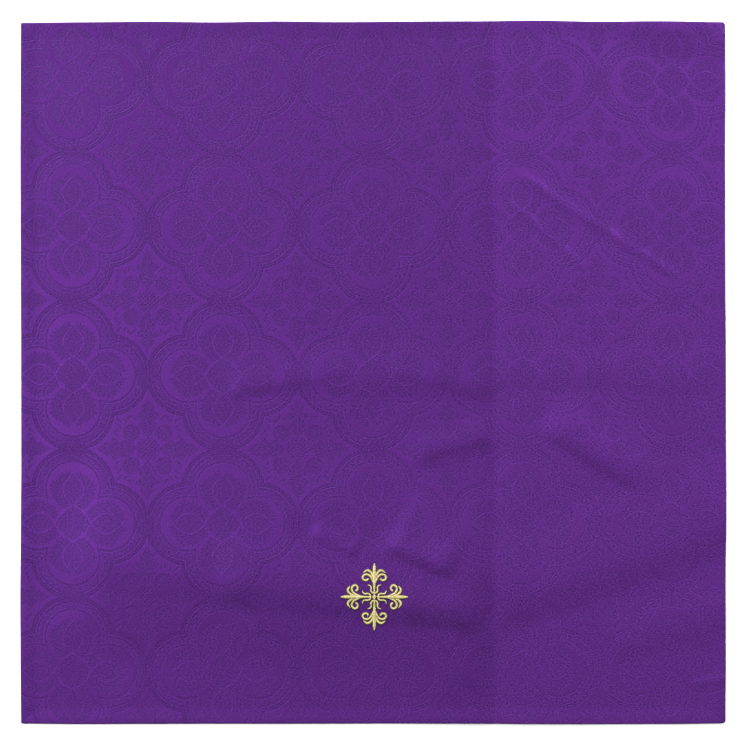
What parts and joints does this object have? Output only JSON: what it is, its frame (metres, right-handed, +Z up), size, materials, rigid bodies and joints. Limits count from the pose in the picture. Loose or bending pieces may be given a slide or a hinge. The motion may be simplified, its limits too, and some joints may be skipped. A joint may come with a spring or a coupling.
{
  "type": "chalice veil",
  "caption": "Square purple damask veil lying flat, with a small embroidered gold cross near its front edge, for covering a chalice.",
  "frame": {"origin": "on the surface the veil lies on, under the middle of the cloth", "axes": "+Z up through the cloth, +X to the right, +Y away from the edge that carries the cross"},
  "size_m": [0.5507, 0.549, 0.0073],
  "materials": {
    "damask": "woven satin and twill damask, semi-matt",
    "gold_thread": "satin-stitched metallic embroidery thread"
  },
  "bodies": {
    "root": {"veil_cloth": "damask", "embroidered_cross": "gold_thread"}
  },
  "joints": []
}
